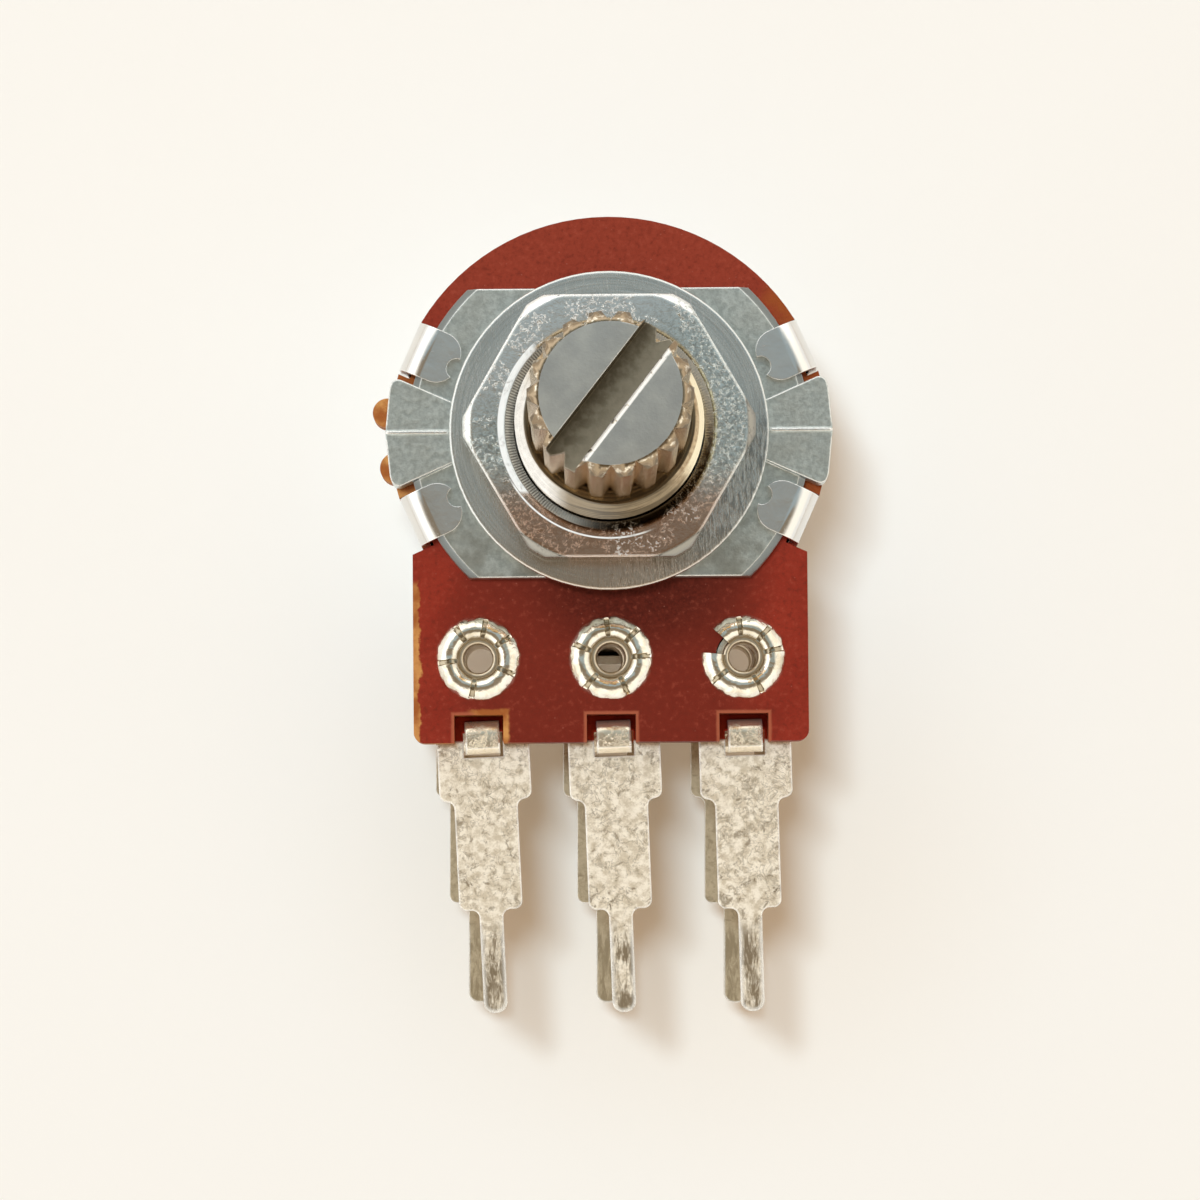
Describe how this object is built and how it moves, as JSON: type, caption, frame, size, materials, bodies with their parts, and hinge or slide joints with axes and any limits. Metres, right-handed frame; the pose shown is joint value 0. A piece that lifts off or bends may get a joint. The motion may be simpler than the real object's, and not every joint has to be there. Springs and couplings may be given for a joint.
{
  "type": "dual-gang rotary potentiometer",
  "caption": "Dual-gang rotary potentiometer with a threaded bushing, hex nut and washer, a knurled slotted shaft and two rows of solder pins.",
  "frame": {"origin": "on the shaft's axis, at the face that seats on a panel (the raised wings and middle boss of the front plate)", "axes": "+Z along the shaft towards its knurled end, -Y along the solder pins, +X to the right seen from the shaft's end with the pins down"},
  "size_m": [0.0173, 0.0304, 0.032],
  "materials": {
    "cast_zinc": "die-cast zinc alloy, bluish grey, satin with polished rims",
    "plated_steel": "bright nickel-plated steel, lightly scratched",
    "shaft_alloy": "turned and knurled alloy, satin end face",
    "spring_steel": "dark spring steel",
    "phenolic_board": "punched paper phenolic, red-brown face, caramel broken edges",
    "carbon_film": "printed carbon, matt",
    "silver_ink": "printed silver ink, matt",
    "tinned_pin": "tinned sheet, mottled and matt, bright cut edges",
    "tinned_eyelet": "tinned hollow rivet, bright rolled flange",
    "tinned_can": "tinplate, smooth, bright at the folds",
    "moulded_resin": "moulded acetal",
    "spring_bronze": "phosphor bronze sheet"
  },
  "bodies": {
    "root": {"front_plate": "cast_zinc", "front_board": "phenolic_board", "front_track": "carbon_film", "front_collector": "silver_ink", "front_pin_left": "tinned_pin", "front_pin_middle": "tinned_pin", "front_pin_right": "tinned_pin", "front_eyelet_left": "tinned_eyelet", "front_eyelet_middle": "tinned_eyelet", "front_eyelet_right": "tinned_eyelet", "middle_can": "tinned_can", "rear_board": "phenolic_board", "rear_track": "carbon_film", "rear_collector": "silver_ink", "rear_pin_left": "tinned_pin", "rear_pin_middle": "tinned_pin", "rear_pin_right": "tinned_pin", "rear_eyelet_left": "tinned_eyelet", "rear_eyelet_middle": "tinned_eyelet", "rear_eyelet_right": "tinned_eyelet", "rear_cover": "tinned_can"},
    "shaft_body": {"shaft": "shaft_alloy", "retaining_ring": "spring_steel", "front_rotor": "moulded_resin", "front_wiper": "spring_bronze", "rear_rotor": "moulded_resin", "rear_wiper": "spring_bronze"},
    "washer_body": {"washer": "plated_steel"},
    "nut_body": {"nut": "plated_steel"}
  },
  "joints": [
    {"name": "shaft_turn", "type": "hinge", "parent": "root", "child": "shaft_body", "pos_m": [0, 0, 0], "axis": [0, 0, 1], "range_deg": [-150, 150]},
    {"name": "washer_lift", "type": "slide", "parent": "root", "child": "washer_body", "axis": [0, 0, 1], "range_m": [0, 0.0024]},
    {"name": "nut_turn", "type": "hinge", "parent": "washer_body", "child": "nut_body", "pos_m": [0, 0, 0.0015], "axis": [0, 0, 1], "range_deg": [0, 1152]}
  ],
  "couplings": [
    {"joint": "nut_turn", "follows": "washer_lift", "rad_per_m": 8377.6}
  ]
}
